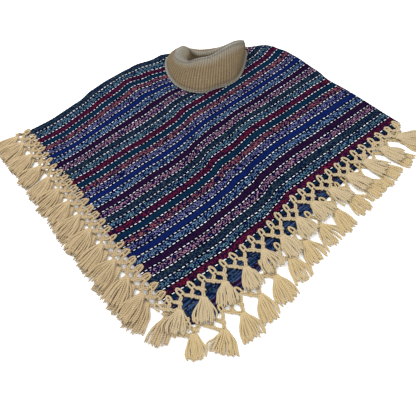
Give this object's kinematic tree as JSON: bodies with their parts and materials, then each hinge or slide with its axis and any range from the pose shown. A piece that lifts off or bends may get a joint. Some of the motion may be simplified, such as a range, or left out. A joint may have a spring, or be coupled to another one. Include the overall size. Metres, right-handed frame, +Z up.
{
  "type": "wool poncho",
  "caption": "Striped hand-woven wool poncho laid flat and folded in two, with a knitted turn-down collar and knotted, tasselled fringes on two hems.",
  "frame": {"origin": "centre of the garment's box, on the surface that it lies on", "axes": "+Z up, out of the cloth; +Y from the front point to the neck; +X across the shoulders to the folded edge's side"},
  "size_m": [1.0053, 0.8402, 0.0462],
  "materials": {
    "woven_back": "matte hand-woven wool, the inside of the back layer",
    "woven_front": "matte hand-woven wool in navy, blue, teal, plum and maroon stripes with pale dashes",
    "knitted_collar": "matte stocking-stitch knit in tan wool",
    "fringe_yarn": "matte plied wool yarn, cream to tan"
  },
  "bodies": {
    "root": {"cloth_back": "woven_back", "cloth_front": "woven_front", "collar": "knitted_collar", "fringe_front_right": "fringe_yarn", "fringe_front_left": "fringe_yarn", "fringe_back_right": "fringe_yarn", "fringe_back_left": "fringe_yarn"}
  },
  "joints": []
}
